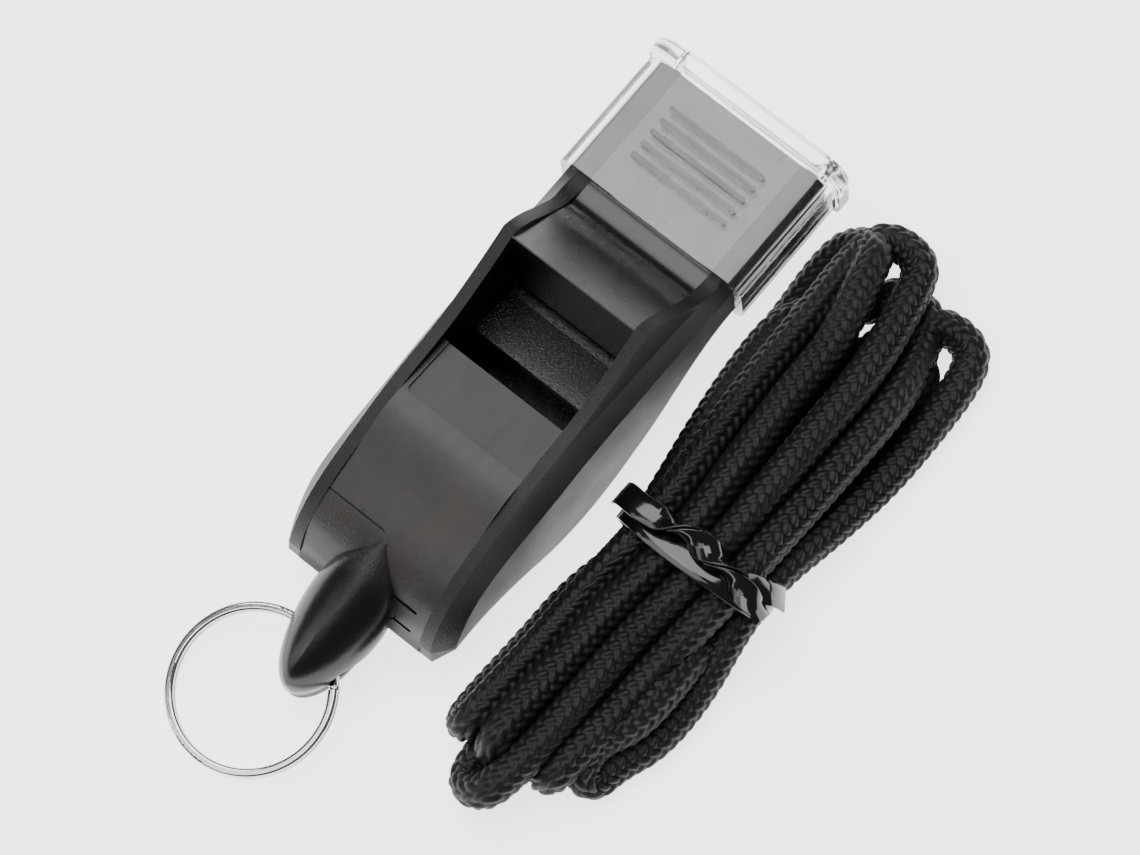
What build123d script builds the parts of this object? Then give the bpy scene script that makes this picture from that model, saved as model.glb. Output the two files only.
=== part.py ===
from build123d import *
import math
import os

# Pealess training whistle with a clear mouth grip, a split ring and a lanyard tied in a hank.
# Millimetres. +X points to the mouthpiece, +Y to the whistle's left, +Z up. The whistle lies on
# a table at Z = 0, and X = 0, Y = 0 is the middle of its box, from split ring to mouth grip.
# Outlines are drawn in the side view as (station, height): station is the distance ahead of the
# tail, height is measured from the middle of the mouthpiece.

os.makedirs("parts", exist_ok=True)

# ---- whistle: lengths and heights ----
mouth_end = 58.6          # station of the end that goes in the mouth
neck = 44.6               # station where the mouthpiece meets the rise
rise_station = 42.1       # foot of the rise
rise_radius = 2.4
crest_station = 34.4      # highest point, at the front of the sound window
crest_height = 11.3
mouth_top = 3.3
mouth_under = 3.0
land_depth = 11.6         # flat underside that the whistle rests on
land_rear = 14.0
land_front = 29.0

# ---- whistle: widths ----
core_half = 7.5           # half width of the body between its two side covers
rim_width = 1.3           # top rim of a side cover
facet_width = 0.25        # steep glossy face below the rim
shoulder_width = 1.15     # sloping shoulder band
rim_half = core_half + rim_width
facet_half = rim_half + facet_width
cheek_half = facet_half + shoulder_width
shoulder_top = 2.45       # shoulder edge on the mouthpiece
shoulder_under = 2.4
rim_proud = 0.12          # the rims stand this far above the body
cover_lift = 0.3          # the covers end this far above the table

# ---- air passages ----
slot_station = 33.3       # foot of the window's front wall
slot_top = 0.3
slot_floor = 1.1          # depth of the ledge below the mouthpiece axis
windway_end = 1.4         # half height of the windway at the mouth
ledge_front = 32.4
ledge_rear = 27.2
ledge_rise = 0.8
ledge_thickness = 1.4
labium_station = 23.5
labium_height = 4.9
labium_edge = 0.25
step_station = 17.2       # rear end of the ramp
ramp_rise = 0.7
ramp_step = 0.3           # the roof starts this much higher than the ramp
ramp_corner = 0.6
strip_width = 0.5         # strips at the ramp's two sides
roof_wall = 1.7
floor_wall = 1.6
chamber_rear = 6.5
web = 1.2                 # webs in the windway and between the two chambers
windway_web_rear = 38.0
windway_web_set_back = 1.6
chamber_web_front = 21.5

# ---- moulding lines at the tail ----
tail_line = (6.0, 1.72)
tail_line_width = 0.16
tail_line_depth = 0.25
tail_slots = [(2.2, -1.75, 0.6), (1.0, -4.5, 0.25)]
tail_slot_start = 3.2
tail_slot_length = 3.0
tail_slot_width = 0.4
tail_slot_depth = 0.5

# ---- locating dowels of the side covers ----
dowel_radius = 0.9
dowel_length = 2.0
dowel_clearance = 0.05
dowel_places = [(37.2, 4.0), (3.4, -4.0)]

# ---- lug for the split ring ----
lug_hole_station = -5.4
lug_hole_height = -7.6
lug_hole_length = 5.8
lug_hole_width = 4.0

# ---- mouth grip ----
grip_clearance = 0.1
grip_wall = 0.95
grip_front_wall = 2.1
grip_rear = neck + 0.2
bead_length = 1.9
bead_proud = 0.55
bead_rounding = 0.7
slot_lip = 1.1            # the front wall stands this far inside the sleeve's wall
grip_corner = 2.0
rib_count = 5
rib_length = 11.7
rib_width = 0.55
rib_pitch = 1.45
rib_height = 0.3
first_rib = 49.2          # station of the rearmost rib

# ---- split ring ----
ring_outer = 8.6
ring_band = 0.95          # radial width of the wire
ring_turn = 0.74          # height of one of its two turns
ring_overlap = 0.04       # the turns meet in a thin neck this high
ring_rounding = 0.34
ring_slit = 0.35
ring_tilt = 10.0          # degrees, raised at the lug
ring_yaw = 19.4           # degrees, swung to the whistle's left
ring_wire_station = -4.7  # where the wire crosses the lug's hole
ring_wire_side = 0.5
ring_wire_height = -7.8

# ---- lanyard ----
cord_diameter = 3.6
hank_height = 9.6
hank_rounding = 2.6
tie_station = 24.4
tie_width = 3.0
tie_thickness = 0.5
tie_corner = 3.6
tie_left = -13.8          # sideways limits of the waist that the tie holds
tie_right = -31.0
tie_wire = 0.3
pigtail = [(24.2, -15.0), (26.6, -15.4), (27.0, -22.0), (27.4, -28.6), (24.7, -29.6), (23.9, -22.0)]
ferrule_radius = 2.3
ferrule_length = 9.0
ferrule_height = 2.7
string_diameter = 0.9

ring_mean = ring_outer - ring_band / 2
ring_reach = ring_mean * math.cos(math.radians(ring_tilt))
ring_middle_station = ring_wire_station - ring_reach * math.cos(math.radians(ring_yaw))
grip_front = mouth_end + grip_clearance + grip_front_wall
middle_station = (grip_front + ring_middle_station - ring_outer) / 2
axis_height = land_depth


def at(station, height):
    """A point of the side view, as (X, Z)."""
    return (station - middle_station, height + axis_height)


def side_plane(y):
    """The side view at this Y; extrusions from it run towards -Y."""
    return Plane.XZ.offset(-y)


def cross_plane(station):
    """The view along the whistle at this station; extrusions from it run towards the mouth."""
    return Plane.YZ.offset(station - middle_station)


def finish(builder, name):
    builder.part.label = name
    export_step(builder.part, f"parts/{name}.step")
    print(name, "volume", round(builder.part.volume, 1), "solids", len(builder.part.solids()))


# ---- whistle body ----

def belly_outline(lift=0.0):
    """The underside from the tail to the mouth, as three lists of points."""
    rear = [(0.4, -0.64 * land_depth), (4.5, -0.67 * land_depth), (9.3, -0.8 * land_depth),
            (land_rear, -land_depth)]
    land = [(land_rear, -land_depth), (land_front, -land_depth)]
    front = [(land_front, -land_depth), (33.5, -0.8 * land_depth), (38.5, -0.47 * land_depth),
             (neck, -mouth_under)]
    return [[at(s, h + lift) for s, h in points] for points in (rear, land, front)]


ramp_rear = (step_station, labium_height + ramp_rise)
ramp_fall = ramp_rise / (labium_station - step_station)
roof_front = (step_station, labium_height + ramp_rise + ramp_step)
windway = [at(mouth_end + 1, windway_end), at(slot_station - 0.2, slot_top),
           at(slot_station - 0.2, -slot_floor), at(mouth_end + 1, -windway_end)]

chamber_front = [at(ledge_rear, ledge_rise - slot_floor - ledge_thickness),
                 at(ledge_front, -slot_floor - ledge_thickness - 0.4), at(36.6, -4.6),
                 at(33.0, floor_wall - 0.8 * land_depth), at(land_front - 1, floor_wall - land_depth)]
chamber_back = [at(land_rear + 0.6, floor_wall - land_depth), at(9.6, floor_wall - 0.79 * land_depth),
                at(chamber_rear, -5.6), at(chamber_rear, -0.4), at(10.2, 3.6 - roof_wall),
                at(step_station, labium_height + ramp_rise - roof_wall),
                at(labium_station, labium_height - labium_edge)]
window = [at(crest_station - 0.3, crest_height + 2), at(slot_station, slot_top),
          at(slot_station, -slot_floor), at(ledge_front, -slot_floor),
          at(ledge_rear, ledge_rise - slot_floor)]

with BuildPart() as whistle_body:
    with BuildSketch(side_plane(0)):
        with BuildLine():
            Line(at(mouth_end, -mouth_under), at(mouth_end, mouth_top - rim_proud))
            Line(at(mouth_end, mouth_top - rim_proud), at(neck, mouth_top - rim_proud))
            FilletPolyline(at(neck, mouth_top - rim_proud), at(rise_station, mouth_top - rim_proud),
                           at(crest_station - 0.3, crest_height - rim_proud), radius=rise_radius)
            Line(at(crest_station - 0.3, crest_height - rim_proud),
                 at(labium_station, labium_height + ramp_step))
            Line(at(labium_station, labium_height + ramp_step), at(*roof_front))
            Spline(at(*roof_front), at(15.2, 5.85), at(10.2, 3.65), at(4.8, 1.0), at(2.3, -1.6),
                   at(1.0, -4.4), at(0.2, -6.2), tangents=[(-1, 0), (-0.5, -1)])
            rear_line, land_line, front_line = belly_outline()
            Line(at(0.2, -6.2), rear_line[0])
            Spline(*rear_line)
            Line(*land_line)
            Spline(*front_line)
            Line(at(neck, -mouth_under), at(mouth_end, -mouth_under))
        make_face()
        with BuildLine():
            Polyline(*window, *chamber_front, *chamber_back,
                     at(labium_station, crest_height + 2), close=True)
        make_face(mode=Mode.SUBTRACT)
        with BuildLine():
            Polyline(*windway, close=True)
        make_face(mode=Mode.SUBTRACT)
    extrude(amount=core_half, both=True)
    # ramp behind the window, sunk between two thin strips
    with BuildSketch(side_plane(0)):
        with BuildLine():
            Polyline(at(labium_station + 1, labium_height - ramp_fall), at(*ramp_rear),
                     at(step_station, crest_height), at(labium_station + 1, crest_height), close=True)
        make_face()
    extrude(amount=core_half - strip_width, both=True, mode=Mode.SUBTRACT)
    rear_corners = whistle_body.edges().filter_by(Axis.Z).filter_by_position(
        Axis.X, at(*ramp_rear)[0] - 0.05, at(*ramp_rear)[0] + 0.05)
    fillet(rear_corners, radius=ramp_corner)
    # web along the middle of the windway
    with BuildSketch(side_plane(0)):
        with Locations(at((windway_web_rear + mouth_end - windway_web_set_back) / 2, 0)):
            Rectangle(mouth_end - windway_web_set_back - windway_web_rear, 2 * windway_end + 0.2)
    extrude(amount=web / 2, both=True)
    # web between the two chambers
    with BuildSketch(side_plane(0)):
        with BuildLine():
            Polyline(*chamber_front, *chamber_back, close=True)
        make_face()
        with Locations(at(chamber_web_front - 20, 0)):
            Rectangle(40, 40, mode=Mode.INTERSECT)
    extrude(amount=web / 2, both=True)
    # lug: rounded fin with a parting line along its ridge, lofted from roof to tip
    lug_sections = [
        # station, ridge, half width, widest at, underside
        (6.2, 1.45, 0.5, 0.7, 0.1),
        (3.4, 0.85, 2.7, -2.2, -5.0),
        (0.0, -0.15, 4.3, -4.3, -8.4),
        (-3.6, -1.3, 4.15, -5.6, -10.4),
        (-7.0, -2.6, 3.2, -6.3, -10.9),
        (-9.3, -4.0, 1.9, -6.8, -10.1),
        (-10.4, -5.8, 0.5, -7.0, -8.2),
    ]
    for station, ridge, half, widest, under in lug_sections:
        with BuildSketch(cross_plane(station)):
            for side in (1, -1):
                with BuildLine():
                    Spline((0, ridge + axis_height),
                           (side * 0.62 * half, 0.76 * ridge + 0.24 * widest + axis_height),
                           (side * half, widest + axis_height),
                           (side * 0.7 * half, 0.28 * widest + 0.72 * under + axis_height),
                           (0, under + axis_height), tangents=[(side, -0.12), (-side, 0)])
                    Line((0, under + axis_height), (0, ridge + axis_height))
                make_face()
    loft()
    with BuildSketch(side_plane(0)):
        with Locations(at(lug_hole_station, lug_hole_height)):
            SlotOverall(lug_hole_length, lug_hole_width)
    extrude(amount=core_half, both=True, mode=Mode.SUBTRACT)
    # fine line across the roof on the lug's left, and two short slots on its right
    line_place = (at(*tail_line)[0], 0, at(*tail_line)[1])
    with BuildSketch(Plane(origin=line_place, x_dir=(0, 1, 0), z_dir=(-0.45, 0, 0.9))):
        with Locations((core_half / 2 + 0.3, 0)):
            Rectangle(core_half - 0.6, tail_line_width)
    extrude(amount=tail_line_depth, both=True, mode=Mode.SUBTRACT)
    for station, height, lean in tail_slots:
        slot_place = (at(station, height)[0], 0, at(station, height)[1])
        with BuildSketch(Plane(origin=slot_place, x_dir=(0, 1, 0), z_dir=(-1, 0, lean))):
            with Locations((-(tail_slot_start + tail_slot_length / 2), 0)):
                SlotOverall(tail_slot_length, tail_slot_width)
        extrude(amount=tail_slot_depth, both=True, mode=Mode.SUBTRACT)
    # blind holes for the covers' dowels
    for side in (1, -1):
        with BuildSketch(side_plane(side * core_half)):
            with Locations(*[at(s, h) for s, h in dowel_places]):
                Circle(dowel_radius + dowel_clearance)
        extrude(amount=side * (dowel_length + 0.3), mode=Mode.SUBTRACT)
finish(whistle_body, "whistle_body")


# ---- side covers ----

def cover_outline(kind):
    """Closed side outline of a cover at one of its levels, always in nine edges."""
    belly_rear, belly_land, belly_front = belly_outline(cover_lift)
    if kind == "rim":
        top, under, tail = mouth_top, mouth_under - cover_lift, (0.6, -4.9)
        rise = [(neck, top), (40.9, 4.7), (38.5, 7.35), (crest_station, crest_height)]
        back = [(crest_station, crest_height), (29.4, 8.8), (24.0, 6.95), (18.0, 6.15), (10.2, 3.8),
                (4.8, 1.15), (2.2, -1.6), tail]
    elif kind == "facet":
        top, under, tail = mouth_top - 0.1, mouth_under - cover_lift, (0.75, -5.1)
        rise = [(neck, top), (40.9, 4.15), (38.5, 4.75), (crest_station, 5.3)]
        back = [(crest_station, 5.3), (29.4, 5.85), (24.0, 6.1), (18.0, 5.6), (10.2, 3.2),
                (4.8, 0.5), (2.4, -2.2), tail]
    else:
        top, under, tail = shoulder_top, shoulder_under, (2.7, -6.1)
        rise = [(neck, top), (40.9, top + 0.02), (38.5, top + 0.04), (crest_station, top + 0.08)]
        back = [(crest_station, top + 0.08), (29.4, 2.6), (24.0, 2.5), (18.0, 1.75), (10.2, 0.75),
                (6.6, -0.75), (4.3, -3.3), tail]
        belly_rear = [at(2.7, -6.5), at(6.2, -6.35), at(9.8, -7.1), at(land_rear, -0.76 * land_depth)]
        belly_land = [at(land_rear, -0.76 * land_depth), at(20.0, -0.94 * land_depth),
                      at(land_front, -0.8 * land_depth)]
        belly_front = [at(land_front, -0.8 * land_depth), at(34.0, -0.6 * land_depth),
                       at(38.5, -0.36 * land_depth), at(neck, -under)]
    belly_front[-1] = at(neck, -under)
    with BuildLine() as outline:
        Line(at(mouth_end, -under), at(mouth_end, top))
        Line(at(mouth_end, top), at(neck, top))
        Spline(*[at(*p) for p in rise])
        Spline(*[at(*p) for p in back])
        Line(at(*tail), belly_rear[0])
        Spline(*belly_rear)
        Spline(*belly_land)
        Spline(*belly_front)
        Line(at(neck, -under), at(mouth_end, -under))
    return outline.line


levels = [("rim", rim_half), ("facet", facet_half), ("shoulder", cheek_half)]

with BuildPart() as right_side_cover:
    with BuildSketch(side_plane(-core_half)):
        add(cover_outline("rim"))
        make_face()
    extrude(amount=rim_width)
    for (inner_kind, inner_y), (outer_kind, outer_y) in zip(levels, levels[1:]):
        with BuildSketch(side_plane(-inner_y)):
            add(cover_outline(inner_kind))
            make_face()
        with BuildSketch(side_plane(-outer_y)):
            add(cover_outline(outer_kind))
            make_face()
        loft(ruled=True)
    with BuildSketch(side_plane(-core_half)):
        with Locations(*[at(s, h) for s, h in dowel_places]):
            Circle(dowel_radius)
    extrude(amount=-dowel_length)
finish(right_side_cover, "right_side_cover")

with BuildPart() as left_side_cover:
    add(mirror(right_side_cover.part, about=Plane.XZ, mode=Mode.PRIVATE))
finish(left_side_cover, "left_side_cover")


# ---- mouth grip: clear sleeve that pushes on over the mouthpiece ----

grip_inside_width = 2 * (cheek_half + grip_clearance)
grip_inside_top = mouth_top + grip_clearance
grip_inside_height = mouth_top + mouth_under + 2 * grip_clearance
grip_middle = axis_height + grip_inside_top - grip_inside_height / 2


def grip_section(growth, corner):
    """Section of the grip, grown outwards from its inner wall."""
    with Locations((0, grip_middle)):
        RectangleRounded(grip_inside_width + 2 * growth, grip_inside_height + 2 * growth, corner)


with BuildPart() as mouth_grip:
    with BuildSketch(cross_plane(grip_rear)):
        grip_section(grip_wall, grip_corner)
    extrude(amount=grip_front - grip_rear)
    with BuildSketch(cross_plane(grip_front - bead_length)):
        grip_section(grip_wall + bead_proud, grip_corner + bead_proud)
    extrude(amount=bead_length)
    fillet(mouth_grip.faces().sort_by(Axis.X)[-1].edges(), radius=bead_rounding)
    # bite ribs across the top and the underside
    for top in (True, False):
        outer = grip_inside_height / 2 + grip_wall
        level = grip_middle + outer - 0.1 if top else grip_middle - outer + 0.1
        with BuildSketch(Plane.XY.offset(level)):
            for rib in range(rib_count):
                with Locations((first_rib + rib * rib_pitch - middle_station, 0)):
                    SlotOverall(rib_length, rib_width, rotation=90)
        extrude(amount=(rib_height + 0.1) * (1 if top else -1))
    # socket for the mouthpiece, and the slot that the breath goes through
    with BuildSketch(cross_plane(grip_rear - 1)):
        grip_section(0, grip_corner / 2)
    extrude(amount=mouth_end + grip_clearance - grip_rear + 1, mode=Mode.SUBTRACT)
    with BuildSketch(cross_plane(mouth_end - 1)):
        with Locations((0, axis_height)):
            RectangleRounded(grip_inside_width - 2 * slot_lip, grip_inside_height - 2 * slot_lip, 1.6)
    extrude(amount=grip_front - mouth_end + 2, mode=Mode.SUBTRACT)
finish(mouth_grip, "mouth_grip")


# ---- split ring: two flat turns of wire, joined by a thin neck ----

tilt = math.radians(ring_tilt)
yaw = math.radians(ring_yaw)
to_lug = Vector(math.cos(tilt) * math.cos(yaw), -math.cos(tilt) * math.sin(yaw), math.sin(tilt))
ring_axis = Vector(-math.sin(tilt) * math.cos(yaw), math.sin(tilt) * math.sin(yaw), math.cos(tilt))
wire_x, wire_z = at(ring_wire_station, ring_wire_height)
wire_point = Vector(wire_x, ring_wire_side, wire_z)
ring_plane = Plane(origin=wire_point - to_lug * ring_mean, x_dir=to_lug, z_dir=ring_axis)
ring_section = Plane(origin=ring_plane.origin, x_dir=to_lug, z_dir=to_lug.cross(ring_axis))

with BuildPart() as split_ring:
    with BuildSketch(ring_section):
        for side in (1, -1):
            with Locations((ring_mean, side * (ring_turn - ring_overlap) / 2)):
                RectangleRounded(ring_band, ring_turn, ring_rounding)
    revolve(axis=Axis(ring_plane.origin, ring_axis))
    # the wire's two ends, one in each turn
    for side, turn in ((1, -33.0), (-1, 24.0)):
        angle = math.radians(turn)
        spoke = ring_plane.x_dir * math.cos(angle) + ring_plane.y_dir * math.sin(angle)
        with BuildSketch(Plane(origin=ring_plane.origin, x_dir=spoke, z_dir=ring_axis * side)):
            with Locations((ring_mean, 0)):
                Rectangle(2 * ring_band, ring_slit)
        extrude(amount=2 * ring_turn, mode=Mode.SUBTRACT)
finish(split_ring, "split_ring")
axis_line = ring_plane.y_dir
print("ring hinge", [round(v, 4) for v in wire_point], [round(v, 5) for v in axis_line])


# ---- lanyard: a braided cord tied in a hank, beside the whistle ----

hank_outline = [
    (50.0, -12.4), (56.0, -12.2), (60.4, -13.8), (62.2, -17.6), (60.6, -22.2), (59.4, -26.6),
    (56.0, -30.3), (49.0, -32.2), (38.3, -33.3), (30.0, -32.2), (24.4, -31.2), (17.8, -32.2),
    (10.0, -31.2), (2.0, -29.8), (-3.0, -27.2), (-6.8, -23.6), (-8.2, -20.0), (-6.2, -16.9),
    (-1.2, -14.7), (8.0, -13.4), (18.0, -12.9), (24.4, -13.7), (32.0, -12.9), (41.0, -12.3),
]
string_route = [
    (33.6, -21.9, 3.0), (31.0, -21.6, 3.6), (28.9, -20.4, 6.2), (26.8, -19.6, 8.4),
    (23.2, -18.7, 9.0), (19.6, -17.3, 8.6), (15.7, -16.6, 7.6), (11.8, -16.6, 7.0),
    (8.6, -17.3, 6.2), (5.6, -18.4, 5.0),
]
tie_middle = (tie_left + tie_right) / 2
tie_outside_width = tie_left - tie_right
tie_outside_height = hank_height + tie_thickness


def tie_section(inset, mode=Mode.ADD):
    """The tie's outline around the hank's waist, this far inside its outer face."""
    with Locations((tie_middle, tie_outside_height / 2)):
        RectangleRounded(tie_outside_width - 2 * inset, tie_outside_height - 2 * inset,
                         tie_corner - inset, mode=mode)


def cord_radii(points):
    """One radius for each corner of a route, as large as its two runs allow."""
    radii = []
    for before, here, after in zip(points, points[1:], points[2:]):
        arriving, leaving = Vector(here) - Vector(before), Vector(after) - Vector(here)
        half_turn = math.radians(arriving.get_angle(leaving)) / 2
        radii.append(0.45 * min(arriving.length, leaving.length) / math.tan(half_turn))
    return radii


with BuildPart() as lanyard_hank:
    with BuildSketch():
        with BuildLine():
            Spline(*[(station - middle_station, y) for station, y in hank_outline], periodic=True)
        make_face()
    extrude(amount=hank_height)
    fillet(lanyard_hank.edges().filter_by(GeomType.BSPLINE), radius=hank_rounding)
    # waist, pulled in by the tie
    with BuildSketch(cross_plane(tie_station - tie_width / 2)):
        with Locations((tie_middle, tie_outside_height / 2)):
            Rectangle(2 * tie_outside_width, 2 * tie_outside_height)
        tie_section(tie_thickness, Mode.SUBTRACT)
    extrude(amount=tie_width, mode=Mode.SUBTRACT)
finish(lanyard_hank, "lanyard_hank")

with BuildPart() as lanyard_ferrule:
    with BuildSketch(cross_plane(string_route[0][0])):
        with Locations((string_route[0][1], ferrule_height)):
            Circle(ferrule_radius)
            Circle(cord_diameter / 2, mode=Mode.SUBTRACT)
    extrude(amount=ferrule_length)
finish(lanyard_ferrule, "lanyard_ferrule")

route = [(station - middle_station, y, z) for station, y, z in string_route]
string_radii = cord_radii(route)
with BuildPart() as lanyard_string:
    with BuildLine() as string_line:
        FilletPolyline(*route, radius=string_radii)
    with BuildSketch(string_line.line ^ 0):
        Circle(string_diameter / 2)
    sweep()
finish(lanyard_string, "lanyard_string")
string_length = sum(edge.length for edge in string_line.line.edges())
print("string length", round(string_length, 1), "section times length",
      round(math.pi * string_diameter ** 2 / 4 * string_length, 1),
      "radii", [round(radius, 1) for radius in string_radii])

with BuildPart() as twist_tie:
    with BuildSketch(cross_plane(tie_station - tie_width / 2)):
        tie_section(0)
        tie_section(tie_thickness, Mode.SUBTRACT)
    extrude(amount=tie_width)
    # the tie's two ends, twisted together and bent down on the hank
    with BuildSketch(Plane.XY.offset(tie_outside_height - tie_thickness / 2)):
        with BuildLine():
            Polyline(*[(station - middle_station, y) for station, y in pigtail], close=True)
        make_face()
    extrude(amount=2 * tie_thickness)
    # channel of the wire inside
    with BuildSketch(cross_plane(tie_station - tie_wire / 2)):
        tie_section((tie_thickness - tie_wire) / 2)
        tie_section((tie_thickness + tie_wire) / 2, Mode.SUBTRACT)
    extrude(amount=tie_wire, mode=Mode.SUBTRACT)
finish(twist_tie, "twist_tie")

with BuildPart() as twist_tie_wire:
    with BuildSketch(cross_plane(tie_station - tie_wire / 2)):
        tie_section((tie_thickness - tie_wire) / 2)
        tie_section((tie_thickness + tie_wire) / 2, Mode.SUBTRACT)
    extrude(amount=tie_wire)
finish(twist_tie_wire, "twist_tie_wire")
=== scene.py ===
import math

import bpy
import numpy as np
from mathutils import Matrix, Vector


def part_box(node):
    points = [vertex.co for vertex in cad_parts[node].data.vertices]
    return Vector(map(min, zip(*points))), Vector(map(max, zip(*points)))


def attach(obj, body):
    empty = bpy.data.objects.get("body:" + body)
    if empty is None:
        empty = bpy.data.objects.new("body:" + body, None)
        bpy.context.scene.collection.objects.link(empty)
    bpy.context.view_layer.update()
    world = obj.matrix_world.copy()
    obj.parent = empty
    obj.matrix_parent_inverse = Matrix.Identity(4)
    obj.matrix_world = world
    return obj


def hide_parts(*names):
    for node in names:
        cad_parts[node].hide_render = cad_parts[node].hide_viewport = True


# Training whistle with a clear mouth grip, a split ring and a lanyard tied in a hank.
# Metres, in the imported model's frame: +X to the mouthpiece, +Y to the whistle's left, +Z up.
# "Station" is the distance ahead of the body's tail, in millimetres, as in the model's source.

MM = 0.001
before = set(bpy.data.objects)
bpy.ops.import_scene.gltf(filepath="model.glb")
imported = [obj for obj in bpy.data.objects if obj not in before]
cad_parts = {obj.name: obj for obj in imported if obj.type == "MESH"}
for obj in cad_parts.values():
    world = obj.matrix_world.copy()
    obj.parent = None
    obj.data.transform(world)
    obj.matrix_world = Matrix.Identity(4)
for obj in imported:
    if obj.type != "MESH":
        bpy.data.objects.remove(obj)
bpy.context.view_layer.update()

_, body_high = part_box("whistle_body")
MOUTH_END = 58.6
MIDDLE_STATION = MOUTH_END - body_high[0] / MM   # the station at X = 0
AXIS_HEIGHT = 11.6


def place(station, y, height):
    """A point by its station, side and height above the table, in millimetres."""
    return Vector(((station - MIDDLE_STATION) * MM, y * MM, height * MM))


def places(points):
    return [place(*point) for point in points]


_, grip_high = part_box("mouth_grip")
GRIP_FLANGE = 0.55 * MM      # the front bead stands this far above the sleeve
GRIP_TOP = grip_high[2] - GRIP_FLANGE

# ---- camera ----

VIEW_DIRECTION = Vector((-0.1974, -0.2393, 0.9507)).normalized()
VIEW_TURN = math.radians(49.31)
VIEW_DISTANCE = 600.0
VIEW_TARGET = place(25.23, -6.10, AXIS_HEIGHT)
LENS = 198.95


def add_camera():
    forward = VIEW_DIRECTION
    across = (Vector((1, 0, 0)) - forward * forward.x).normalized()
    upward = forward.cross(across)
    right = across * math.cos(VIEW_TURN) - upward * math.sin(VIEW_TURN)
    up = across * math.sin(VIEW_TURN) + upward * math.cos(VIEW_TURN)
    data = bpy.data.cameras.new("camera")
    data.lens = LENS
    data.sensor_width = 36.0
    data.clip_start = 0.01
    camera = bpy.data.objects.new("camera", data)
    turn = Matrix((right, up, forward)).transposed()
    camera.matrix_world = Matrix.Translation(VIEW_TARGET + forward * VIEW_DISTANCE * MM) @ turn.to_4x4()
    bpy.context.collection.objects.link(camera)
    bpy.context.scene.camera = camera


# ---- node helpers ----


class Shader:
    """A material's node tree, with short ways to add and join nodes."""

    def __init__(self, name):
        self.material = bpy.data.materials.new(name)
        self.material.use_nodes = True
        self.tree = self.material.node_tree
        self.base = self.tree.nodes["Principled BSDF"]

    def node(self, kind, **values):
        made = self.tree.nodes.new("ShaderNode" + kind)
        for key, value in values.items():
            setattr(made, key, value)
        return made

    def join(self, source, target):
        self.tree.links.new(source, target)

    def set(self, **values):
        for key, value in values.items():
            self.base.inputs[key.replace("_", " ")].default_value = value

    def coordinates(self):
        return self.node("TexCoord").outputs["Object"]

    def noise(self, vector, scale, detail=3.0):
        made = self.node("TexNoise")
        made.inputs["Scale"].default_value = scale
        made.inputs["Detail"].default_value = detail
        made.inputs["Roughness"].default_value = 0.55
        self.join(vector, made.inputs["Vector"])
        return made.outputs["Fac"]

    def stretched(self, vector, scale):
        made = self.node("Mapping")
        made.inputs["Scale"].default_value = scale
        self.join(vector, made.inputs["Vector"])
        return made.outputs["Vector"]

    def ramp(self, factor, low, high, start=0.0, end=1.0):
        made = self.node("MapRange")
        made.inputs["From Min"].default_value = start
        made.inputs["From Max"].default_value = end
        made.inputs["To Min"].default_value = low
        made.inputs["To Max"].default_value = high
        self.join(factor, made.inputs["Value"])
        return made.outputs["Result"]

    def math(self, operation, first, second):
        made = self.node("Math", operation=operation)
        for socket, value in zip(made.inputs, (first, second)):
            if isinstance(value, (int, float)):
                socket.default_value = value
            else:
                self.join(value, socket)
        return made.outputs[0]

    def bump(self, height, distance, strength):
        made = self.node("Bump")
        made.inputs["Distance"].default_value = distance
        made.inputs["Strength"].default_value = strength
        self.join(height, made.inputs["Height"])
        return made.outputs["Normal"]


def grey(value):
    return (value, value, value * 1.02, 1.0)


# Where the looks of the plastics change, each from one place to the next, in millimetres: stations,
# and then the distance from the middle and the height above the grip's sleeve.
TAIL_END = (0.5, 4.0)
WORN_REAR = (3.0, 9.0)
ROOF_FRONT = (24.0, 25.0)
CHAMBER_FRONT = (33.0, 34.0)
BEAD_REAR = (56.2, 56.4)
CHEEK_EDGE = (10.2, 11.2)
RIB_FOOT = (0.06, 0.12)


def stations(pair):
    """The X of two stations."""
    return [place(station, 0, 0).x for station in pair]


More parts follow.
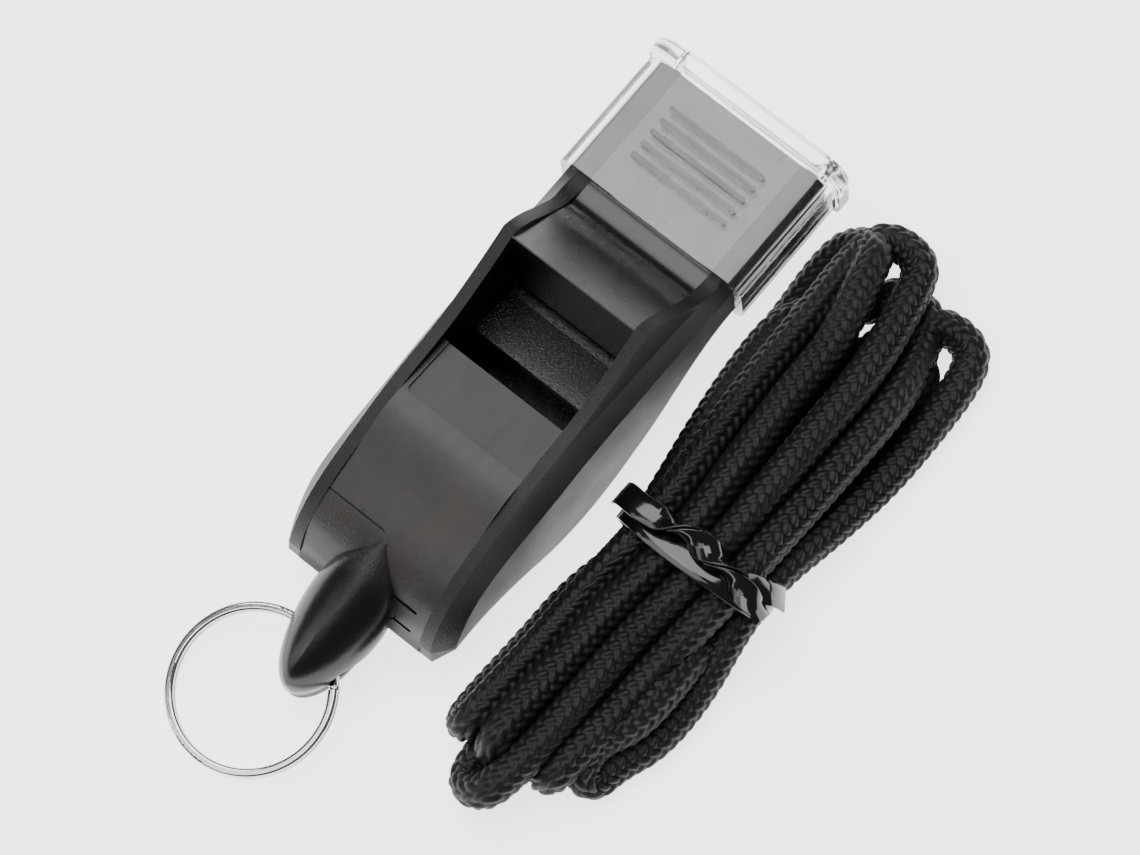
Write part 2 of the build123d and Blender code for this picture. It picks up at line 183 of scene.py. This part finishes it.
def body_plastic():
    """Black moulded plastic: satin roof with fine streaks and speckles, glossier neck and lug."""
    s = Shader("body_plastic")
    s.set(Base_Color=grey(0.006), Roughness=0.3, IOR=1.46)
    where = s.coordinates()
    station = s.node("SeparateXYZ")
    s.join(where, station.inputs["Vector"])
    along = station.outputs["X"]
    tail = s.ramp(along, 1.0, 0.0, *stations(TAIL_END))
    roof = s.ramp(along, 1.0, 0.0, *stations(ROOF_FRONT))
    satin = s.math("MULTIPLY", roof, s.math("SUBTRACT", 1.0, tail))
    streak = s.noise(s.stretched(where, (0.25, 1.0, 1.0)), 900, 4.0)
    cloud = s.noise(where, 160, 4.0)
    mottled = s.math("ADD", s.math("MULTIPLY", streak, 0.1), s.math("MULTIPLY", cloud, 0.04))
    rough = s.math("ADD", s.math("MULTIPLY", satin, 0.17), s.math("ADD", mottled, 0.19))
    s.join(rough, s.base.inputs["Roughness"])
    mix = s.node("Mix", data_type="RGBA")
    mix.inputs["A"].default_value = grey(0.0045)
    mix.inputs["B"].default_value = (0.026, 0.021, 0.018, 1.0)
    s.join(s.math("MULTIPLY", satin, s.ramp(cloud, 0.5, 1.0, 0.3, 0.7)), mix.inputs["Factor"])
    s.join(mix.outputs["Result"], s.base.inputs["Base Color"])
    speckle = s.ramp(s.noise(where, 5200, 1.5), 0.0, 1.0, 0.5, 0.72)
    rear = s.ramp(along, 1.0, 0.12, *stations(WORN_REAR))
    patches = s.math("MULTIPLY", rear, s.ramp(s.noise(where, 300, 2.0), 0.2, 1.0, 0.4, 0.6))
    grain = s.math("MULTIPLY", s.math("MULTIPLY", speckle, patches), satin)
    chamber_front = s.ramp(along, 1.0, 0.0, *stations(CHAMBER_FRONT))
    chamber = s.math("MULTIPLY", s.math("SUBTRACT", 1.0, roof), chamber_front)
    stipple = s.math("MULTIPLY", s.math("MULTIPLY", speckle, chamber), 0.8)
    height = s.math("ADD", s.math("ADD", grain, stipple), s.math("MULTIPLY", streak, 0.08))
    s.join(s.bump(height, 0.00006, 0.55), s.base.inputs["Normal"])
    return s.material


def cover_plastic():
    """Black moulded plastic of the side covers: stippled rims, smoother satin cheeks."""
    s = Shader("cover_plastic")
    s.set(Base_Color=grey(0.006), Roughness=0.45, IOR=1.42)
    where = s.coordinates()
    side = s.node("SeparateXYZ")
    s.join(where, side.inputs["Vector"])
    outward = s.math("ABSOLUTE", side.outputs["Y"], 0.0)
    cheek = s.ramp(outward, 0.0, 1.0, *(edge * MM for edge in CHEEK_EDGE))
    stipple = s.noise(where, 5600, 2.0)
    cloud = s.noise(where, 200, 4.0)
    soft = s.ramp(cloud, 0.46, 0.54, 0.3, 0.7)
    s.join(s.math("SUBTRACT", soft, s.math("MULTIPLY", cheek, 0.04)), s.base.inputs["Roughness"])
    depth = s.math("MULTIPLY", stipple, s.ramp(cheek, 1.0, 0.18))
    s.join(s.bump(depth, 0.0001, 0.7), s.base.inputs["Normal"])
    return s.material


def clear_plastic():
    """Clear soft plastic with a faint haze and a few fine bubbles, its ribs slightly frosted."""
    s = Shader("clear_plastic")
    s.set(Base_Color=(0.95, 0.955, 0.955, 1.0), Roughness=0.1, IOR=1.47, Transmission_Weight=1.0)
    where = s.coordinates()
    haze = s.noise(where, 260, 3.0)
    bubble = s.ramp(s.noise(where, 1500, 1.0), 0.0, 1.0, 0.7, 0.78)
    spot = s.node("SeparateXYZ")
    s.join(where, spot.inputs["Vector"])
    raised = s.ramp(spot.outputs["Z"], 0.0, 1.0, *(GRIP_TOP + rise * MM for rise in RIB_FOOT))
    clear_of_bead = s.ramp(spot.outputs["X"], 1.0, 0.0, *stations(BEAD_REAR))
    rib = s.math("MULTIPLY", raised, clear_of_bead)
    mix = s.node("Mix", data_type="RGBA")
    mix.inputs["A"].default_value = (0.95, 0.955, 0.955, 1.0)
    mix.inputs["B"].default_value = (0.5, 0.5, 0.5, 1.0)
    s.join(rib, mix.inputs["Factor"])
    s.join(mix.outputs["Result"], s.base.inputs["Base Color"])
    rough = s.math("ADD", s.ramp(haze, 0.07, 0.16, 0.35, 0.7), s.math("MULTIPLY", rib, 0.2))
    s.join(rough, s.base.inputs["Roughness"])
    s.join(s.bump(bubble, 0.00002, 0.4), s.base.inputs["Normal"])
    return s.material


def ring_steel():
    """Nickel-plated wire with fine draw lines."""
    s = Shader("ring_steel")
    s.set(Base_Color=(0.6, 0.58, 0.55, 1.0), Roughness=0.09, Metallic=1.0)
    where = s.coordinates()
    wear = s.noise(where, 1500, 3.0)
    s.join(s.ramp(wear, 0.08, 0.12, 0.35, 0.7), s.base.inputs["Roughness"])
    s.join(s.bump(s.noise(where, 5000, 2.0), 0.000003, 0.3), s.base.inputs["Normal"])
    return s.material


def dark_metal():
    """Blackened crimped tube."""
    s = Shader("ferrule_metal")
    s.set(Base_Color=grey(0.03), Roughness=0.4, Metallic=0.6)
    where = s.coordinates()
    s.join(s.ramp(s.noise(where, 900), 0.3, 0.5), s.base.inputs["Roughness"])
    return s.material


def cord_fabric(name, tone):
    """Black polyester yarn, its threads fine and slightly glossy."""
    s = Shader(name)
    s.set(Base_Color=grey(tone), Roughness=0.5, IOR=1.36, Sheen_Weight=0.03, Sheen_Roughness=0.4)
    where = s.coordinates()
    fuzz = s.noise(where, 7000, 3.0)
    cloud = s.noise(where, 250, 3.0)
    mix = s.node("Mix", data_type="RGBA")
    mix.inputs["A"].default_value = grey(tone * 0.6)
    mix.inputs["B"].default_value = grey(tone * 1.8)
    s.join(s.ramp(cloud, 0.0, 1.0, 0.3, 0.7), mix.inputs["Factor"])
    s.join(mix.outputs["Result"], s.base.inputs["Base Color"])
    s.join(s.ramp(fuzz, 0.4, 0.62, 0.3, 0.7), s.base.inputs["Roughness"])
    s.join(s.bump(fuzz, 0.00006, 0.6), s.base.inputs["Normal"])
    return s.material


def tie_plastic():
    """Glossy black film of the twist tie, slightly wavy over its wire."""
    s = Shader("tie_plastic")
    s.set(Base_Color=grey(0.005), Roughness=0.08, IOR=1.55)
    where = s.coordinates()
    wave = s.noise(where, 500, 2.0)
    s.join(s.ramp(wave, 0.06, 0.2, 0.3, 0.7), s.base.inputs["Roughness"])
    s.join(s.bump(wave, 0.00006, 0.4), s.base.inputs["Normal"])
    return s.material


def repaint(node, material):
    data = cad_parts[node].data
    data.materials.clear()
    data.materials.append(material)


# ---- cords ----

# Where each run of the hank passes: (side, height) at the upper stretch, in the tie, and at the
# lower stretch. The cord goes through them in this order, up and down in turn.
RUNS = {
    "start": ((-16.9, 2.0), (-20.7, 2.3), (-22.0, 1.9)),
    "under_top": ((-17.5, 5.6), (-19.5, 5.3), (-19.8, 3.5)),
    "top_left": ((-19.7, 8.3), (-20.8, 8.3), (-19.5, 6.7)),
    "flank_low": ((-13.2, 1.9), (-17.0, 2.3), (-14.8, 2.0)),
    "shoulder": ((-15.9, 6.9), (-17.4, 7.9), (-16.4, 5.7)),
    "top_right": ((-23.8, 7.4), (-24.2, 8.3), (-22.8, 6.4)),
    "flank_high": ((-13.7, 4.9), (-16.1, 5.3), (-18.4, 2.2)),
    "right_high": ((-27.3, 5.4), (-27.4, 7.8), (-26.2, 5.1)),
    "inside": ((-23.6, 3.6), (-25.0, 5.2), (-24.6, 2.3)),
    "right_low": ((-30.8, 1.9), (-28.9, 5.0), (-30.2, 1.9)),
    "right_under": ((-27.2, 1.9), (-27.6, 2.3), (-28.2, 4.7)),
    "middle": ((-20.3, 2.0), (-24.1, 2.3), (-25.3, 1.9)),
}
# The loops between them: how far the cord's middle reaches, its side and its height there.
UPPER_LOOPS = {
    ("start", "under_top"): (52.5, -17.6, 3.6),
    ("top_left", "flank_low"): (58.2, -15.2, 5.2),
    ("shoulder", "top_right"): (60.4, -18.4, 5.2),
    ("flank_high", "right_high"): (57.2, -22.0, 2.6),
    ("inside", "right_low"): (57.4, -27.2, 2.2),
    ("right_under", "middle"): (53.0, -24.5, 2.0),
}
LOWER_LOOPS = {
    ("under_top", "top_left"): (-2.0, -19.3, 4.8),
    ("flank_low", "shoulder"): (-1.6, -15.3, 4.0),
    ("top_right", "flank_high"): (-6.0, -20.0, 3.6),
    ("right_high", "inside"): (-0.6, -24.6, 3.4),
    ("right_low", "right_under"): (1.6, -27.4, 2.6),
    ("middle", "start"): (2.5, -23.8, 2.0),
}
UPPER_STATION, TIE_STATION, LOWER_STATION = 42.0, 24.4, 8.0
FULL_WIDTH_STATION = 15.0    # the lower stretch is as wide as it gets from here on
RUN_STATIONS = (48.5, 42.0, 34.5, 27.5, 21.5, 14.5, 8.0, 2.0)
LAST_STATIONS = (9.0, 14.5, 21.5, 27.5)   # of the run that ends in the ferrule
REST_HEIGHT = 1.92           # the middle of a cord that lies on the table
LOOP_ROOM = 6.0              # a run stops this far short of the loops at its ends
TIGHTEST_LOOP = 2.1          # half the distance between a loop's two sides
WIDEST_LOOP = 3.4
LOOP_BACK = 2.6              # a loop's sides start this far short of its tip
LOOP_OVER = 0.5              # the curve's corners reach this far past the tip
LOOP_CORNER = 0.62           # their distance from the middle, as a share of the half width
# Where the cord leaves the ferrule and comes back to it, straight at first: points, in its order.
FERRULE_OUT = ((42.6, -21.9, 2.7), (45.0, -20.6, 2.5))
FERRULE_BACK = ((31.6, -21.6, 2.6), (33.6, -21.9, 2.7))


def run_point(name, station):
    """A run's point at this station: its stretches are straight, and it bends in towards the tie."""
    upper, waist, lower = RUNS[name]
    if station >= TIE_STATION:
        share = min((station - TIE_STATION) / (UPPER_STATION - TIE_STATION), 1.0)
        near, far = waist, upper
    else:
        share = min((TIE_STATION - station) / (TIE_STATION - FULL_WIDTH_STATION), 1.0)
        near, far = waist, lower
    share = share * share * (3 - 2 * share)
    side, height = (near[i] + (far[i] - near[i]) * share for i in range(2))
    return place(station, side, height)


def loop_points(first, second, reach, side, height, sign):
    """Four points around a loop's end, between the ends of two runs."""
    near = UPPER_STATION if sign > 0 else LOWER_STATION
    a, b = run_point(first, near), run_point(second, near)
    across = Vector((0, b.y - a.y, b.z - a.z))
    half = across.normalized() * min(max(across.length / 2, TIGHTEST_LOOP * MM), WIDEST_LOOP * MM)
    tip = place(reach, side, height)
    back = Vector((-sign * LOOP_BACK * MM, 0, 0))
    over = Vector((sign * LOOP_OVER * MM, 0, 0))
    corner = half * LOOP_CORNER
    points = [tip - half + back, tip - corner + over, tip + corner + over, tip + half + back]
    for point in points:
        point.z = max(point.z, REST_HEIGHT * MM)
    return points


def hank_points():
    """The cord's route: out of the ferrule, up and down the hank, and back into the ferrule."""
    names = list(RUNS)
    points = places(FERRULE_OUT)
    last = None
    for index, (first, second) in enumerate(zip(names, names[1:] + names[:1])):
        upward = index % 2 == 0
        sign = 1 if upward else -1
        reach, side, height = (UPPER_LOOPS if upward else LOWER_LOOPS)[(first, second)]
        if index > 0:
            room = abs(reach - last) - LOOP_ROOM
            clear = [s for s in RUN_STATIONS if LOOP_ROOM < sign * (reach - s) < room]
            points += [run_point(first, station) for station in clear[::-sign]]
        points += loop_points(first, second, reach, side, height, sign)
        last = reach
    points += [run_point("start", station) for station in LAST_STATIONS]
    return points + places(FERRULE_BACK)


def route_curve(name, points):
    """A smooth curve guided by the points, from the first to the last."""
    curve = bpy.data.curves.new(name, "CURVE")
    curve.dimensions = "3D"
    spline = curve.splines.new("NURBS")
    spline.points.add(len(points) - 1)
    for control, point in zip(spline.points, points):
        control.co = (*point, 1.0)
    spline.order_u = 3
    spline.use_endpoint_u = True
    spline.resolution_u = 24
    return bpy.data.objects.new(name, curve)


def line_of(route):
    """The points of a route's smooth line; the route is used up."""
    bpy.context.collection.objects.link(route)
    bpy.context.view_layer.update()
    graph = bpy.context.evaluated_depsgraph_get()
    mesh = bpy.data.meshes.new_from_object(route.evaluated_get(graph), depsgraph=graph)
    line = np.array([vertex.co[:] for vertex in mesh.vertices])
    bpy.data.meshes.remove(mesh)
    bpy.data.objects.remove(route)
    return line


def spaced(line, step):
    """Evenly spaced points on a line, and each one's distance along it."""
    gaps = np.linalg.norm(np.diff(line, axis=0), axis=1)
    keep = np.concatenate([[True], gaps > 1e-9])
    line = line[keep]
    along = np.concatenate([[0], np.cumsum(np.linalg.norm(np.diff(line, axis=0), axis=1))])
    marks = np.linspace(0, along[-1], max(2, round(along[-1] / step)) + 1)
    return np.stack([np.interp(marks, along, line[:, i]) for i in range(3)], axis=1), marks


def unit(vectors):
    return vectors / np.linalg.norm(vectors, axis=1)[:, None]


def frames(line):
    """At each point of a line, its direction and two directions across it that never twist."""
    ahead = unit(np.gradient(line, axis=0))
    across = np.empty_like(ahead)
    side = np.cross(ahead[0], (0, 0, 1.0))
    side /= np.linalg.norm(side)
    for i, direction in enumerate(ahead):
        side = side - direction * side.dot(direction)
        side /= np.linalg.norm(side)
        across[i] = side
    return ahead, across, np.cross(ahead, across)


def braid(turn, along, circumference, carriers):
    """Height from 0 to 1 of a two-over-two braid, by angle (turns) and distance along."""
    half = carriers / 2
    pitch = circumference / half
    p = half * turn + along / pitch
    q = half * turn - along / pitch
    i, j = np.floor(p), np.floor(q)
    step = np.mod(i + j, 4)
    first = step < 2
    across = np.where(first, p - i, q - j)
    length = np.where(first, np.mod(i + q, 4) / 2, (np.mod(p + j, 4) - 2) / 2)
    pillow = np.sqrt(np.clip(1 - (2 * across - 1) ** 2, 0, 1))
    arch = np.sqrt(np.clip(1 - np.abs(2 * np.clip(length, 0, 1) - 1) ** 2.4, 0, 1))
    return pillow * (0.15 + 0.85 * arch)


def swept(name, sections, material):
    """A surface through rows of points, each row one section, with a cap at each end."""
    rows, count = sections.shape[:2]
    index = np.arange(rows * count).reshape(rows, count)
    here, following = index[:-1], index[1:]
    quads = np.stack([here, np.roll(here, -1, 1), np.roll(following, -1, 1), following], axis=2)
    faces = [tuple(quad) for quad in quads.reshape(-1, 4).tolist()]
    faces += [tuple(index[0][::-1].tolist()), tuple(index[-1].tolist())]
    mesh = bpy.data.meshes.new(name)
    mesh.from_pydata(sections.reshape(-1, 3).tolist(), [], faces)
    mesh.polygons.foreach_set("use_smooth", [True] * len(mesh.polygons))
    mesh.materials.append(material)
    made = bpy.data.objects.new(name, mesh)
    bpy.context.collection.objects.link(made)
    return made


def braided_cord(name, line, marks, material):
    """A tube along a line, with its braid in the surface."""
    _, across, up = frames(line)
    turns = np.arange(AROUND) / AROUND
    angle = (turns * 2 * math.pi)[None, :, None]
    height = braid(turns[None, :], marks[:, None], 2 * math.pi * CORD_SURFACE, CARRIERS)
    spread = CORD_SURFACE - RELIEF * (1 - height)
    ring = np.cos(angle) * across[:, None, :] + np.sin(angle) * up[:, None, :]
    return swept(name, line[:, None, :] + ring * spread[:, :, None], material)


def plied_string(name, line, marks, material):
    """Two plies twisted around each other along a line, joined in one mesh."""
    _, across, up = frames(line)
    turn = 2 * math.pi * marks / PLY_TWIST
    angle = (np.arange(PLY_AROUND) / PLY_AROUND * 2 * math.pi)[None, :, None]
    ring = np.cos(angle) * across[:, None, :] + np.sin(angle) * up[:, None, :]
    plies = []
    for half in (0, math.pi):
        out = np.cos(turn + half)[:, None] * across + np.sin(turn + half)[:, None] * up
        plies.append(swept(name, (line + out * PLY_OFFSET)[:, None, :] + ring * PLY_RADIUS, material))
    return joined(plies)


def joined(pieces):
    """Several meshes as one object."""
    first = pieces[0]
    bpy.ops.object.select_all(action="DESELECT")
    for piece in pieces:
        piece.select_set(True)
    bpy.context.view_layer.objects.active = first
    bpy.ops.object.join()
    return first


def strip(name, line, wide, material):
    """A length of the tie's film along a line, its width along the given directions."""
    ahead = unit(np.gradient(line, axis=0))
    wide = unit(wide - ahead * np.sum(wide * ahead, axis=1)[:, None])
    flat = np.cross(ahead, wide)
    sections = np.stack([line + wide * a * TIE_WIDTH + flat * b * TIE_THICKNESS for a, b in TIE_OUTLINE],
                        axis=1)
    return swept(name, sections, material)


# ---- lanyard ----

CORD_SURFACE = 1.9 * MM     # radius at the top of the braid
RELIEF = 0.42 * MM          # depth of the braid
AROUND = 60                 # points around the cord
CARRIERS = 20
ROW = 0.2 * MM              # spacing of the braid's rows of points

PLY_RADIUS = 0.27 * MM
PLY_OFFSET = 0.2 * MM
PLY_TWIST = 3.2 * MM        # length of one full twist
PLY_AROUND = 12             # points around one ply
STRING_ROUTE = [
    (33.6, -21.9, 3.0), (31.0, -21.6, 3.6), (28.9, -20.4, 6.2), (26.8, -19.6, 8.4),
    (23.2, -18.7, 9.0), (19.6, -17.3, 8.6), (15.7, -16.6, 7.6), (11.8, -16.6, 7.0),
    (8.6, -17.3, 6.2), (5.6, -18.4, 5.0),
]

TIE_WIDTH = 2.7 * MM
TIE_THICKNESS = 0.3 * MM
# Its section, in widths and thicknesses: flat, and raised in the middle over the wire.
TIE_OUTLINE = [
    (-0.5, 0), (-0.46, 0.5), (-0.16, 0.5), (0, 0.6), (0.16, 0.5), (0.46, 0.5),
    (0.5, 0), (0.46, -0.5), (0.16, -0.5), (0, -0.6), (-0.16, -0.5), (-0.46, -0.5),
]
# The band: around the hank's waist, over the top from the whistle's side to the far side.
BAND = [
    (23.6, -14.2, 5.0), (23.3, -14.3, 7.4), (22.9, -15.4, 9.4), (22.5, -17.6, 10.4), (22.3, -20.6, 10.6),
    (22.4, -23.6, 10.7), (22.6, -26.6, 10.5), (22.9, -29.2, 9.6), (23.6, -30.9, 7.6), (24.4, -31.2, 5.0),
    (25.0, -30.4, 2.0), (25.2, -28.4, 0.45), (24.9, -22.0, 0.35), (24.5, -17.4, 0.45), (24.0, -15.0, 2.0),
]
# Its two ends, twisted together and laid across the top: from the flat tail to the cut end.
TAIL = [(23.9, -13.6, 8.2), (23.8, -14.1, 10.0), (23.4, -15.9, 11.1), (23.5, -18.2, 11.4)]
PIGTAIL = [
    (23.9, -20.2, 11.6), (24.1, -22.2, 11.8), (24.0, -24.3, 11.8), (23.8, -26.4, 11.7),
    (23.3, -28.6, 11.4), (22.6, -30.6, 10.8), (22.0, -32.0, 10.1),
]
SECOND_TAIL = [(26.0, -32.0, 6.8), (25.6, -31.6, 8.8), (24.6, -30.6, 10.3)]
TWIST_START, TWIST_END = -18.4, -31.0    # sides between which the two ends are twisted
PIGTAIL_TURNS = 1.1
PIGTAIL_OFFSET = 0.34 * MM             # from the twist's middle to each end's


def add_cord():
    """The braided cord of the hank, from the ferrule and back to it."""
    line, marks = spaced(line_of(route_curve("lanyard_route", hank_points())), ROW)
    cord = braided_cord("lanyard_cord", line, marks, cord_fabric("cord_fabric", 0.004))
    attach(cord, "whistle")
    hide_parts("lanyard_hank")
    print("cord length", marks[-1])


def add_string():
    """The thin string, from the ferrule to where it goes in among the runs."""
    line, marks = spaced(line_of(route_curve("string_route", places(STRING_ROUTE))), 0.1 * MM)
    string = plied_string("lanyard_thin_string", line, marks, cord_fabric("string_fabric", 0.008))
    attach(string, "whistle")
    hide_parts("lanyard_string")
    print("string length", marks[-1])


def add_tie():
    """The band and the two twisted ends of the twist tie."""
    material = tie_plastic()
    around, _ = spaced(line_of(route_curve("band_route", places(BAND + BAND[:2]))), 0.25 * MM)
    across = np.tile((1.0, 0.0, 0.0), (len(around), 1))
    pieces = [strip("tie_band", around, across, material)]
    for index, points in enumerate((TAIL + PIGTAIL, SECOND_TAIL + PIGTAIL[-3::-1])):
        line, _ = spaced(line_of(route_curve("tie_route", places(points))), 0.12 * MM)
        start, end = (place(0, side, 0).y for side in (TWIST_START, TWIST_END))
        twisted = np.clip((line[:, 1] - start) / (end - start), 0, 1)
        angle = 2 * math.pi * PIGTAIL_TURNS * twisted + math.pi * index
        ahead = unit(np.gradient(line, axis=0))
        if index:
            ahead = -ahead
        upward = unit(np.cross(ahead, np.tile((1.0, 0.0, 0.0), (len(line), 1))))
        upward = np.where(upward[:, 2:] < 0, -upward, upward)
        sideways = np.cross(upward, ahead)
        out = np.cos(angle)[:, None] * upward + np.sin(angle)[:, None] * sideways
        wide = -np.sin(angle)[:, None] * upward + np.cos(angle)[:, None] * sideways
        middle = line + out * PIGTAIL_OFFSET
        pieces.append(strip("tie_end", middle, wide, material))
    tie = joined(pieces)
    tie.name = "twist_tie_film"
    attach(tie, "whistle")
    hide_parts("twist_tie", "twist_tie_wire")


# ---- stage ----

FLOOR_HALF = 1.5
FLOOR_GLOW = 2.6            # makes the table read as a white background


def add_floor():
    mesh = bpy.data.meshes.new("floor")
    corners = [(x * FLOOR_HALF, y * FLOOR_HALF, 0) for x, y in ((-1, -1), (1, -1), (1, 1), (-1, 1))]
    mesh.from_pydata(corners, [], [(0, 1, 2, 3)])
    floor = bpy.data.objects.new("floor", mesh)
    s = Shader("floor")
    s.set(Base_Color=(0.9, 0.9, 0.9, 1.0), Roughness=0.7)
    s.base.inputs["Emission Color"].default_value = (1, 1, 1, 1)
    s.base.inputs["Emission Strength"].default_value = FLOOR_GLOW
    mesh.materials.append(s.material)
    bpy.context.collection.objects.link(floor)


def add_softbox(name, position, target, size, power):
    data = bpy.data.lights.new(name, "AREA")
    data.shape = "RECTANGLE"
    data.size, data.size_y = size
    data.energy = power
    light = bpy.data.objects.new(name, data)
    light.location = position
    light.rotation_euler = (Vector(target) - Vector(position)).to_track_quat("-Z", "Y").to_euler()
    bpy.context.collection.objects.link(light)


def add_world(strength):
    world = bpy.data.worlds.new("studio")
    world.use_nodes = True
    world.node_tree.nodes["Background"].inputs["Color"].default_value = (1, 1, 1, 1)
    world.node_tree.nodes["Background"].inputs["Strength"].default_value = strength
    bpy.context.scene.world = world


add_camera()
repaint("whistle_body", body_plastic())
covers = cover_plastic()
repaint("left_side_cover", covers)
repaint("right_side_cover", covers)
repaint("mouth_grip", clear_plastic())
repaint("split_ring", ring_steel())
repaint("lanyard_ferrule", dark_metal())
add_cord()
add_string()
add_tie()
add_floor()
add_world(0.15)
add_softbox("key", (0.14, 0.2, 0.76), (0, 0, 0), (0.56, 0.6), 6.0)
add_softbox("roof", (-0.42, 0.2, 0.72), (0, 0, 0), (0.42, 0.6), 2.4)
add_softbox("fill", (-0.5, 0.5, 0.35), (0, 0, 0), (0.3, 0.5), 1.0)
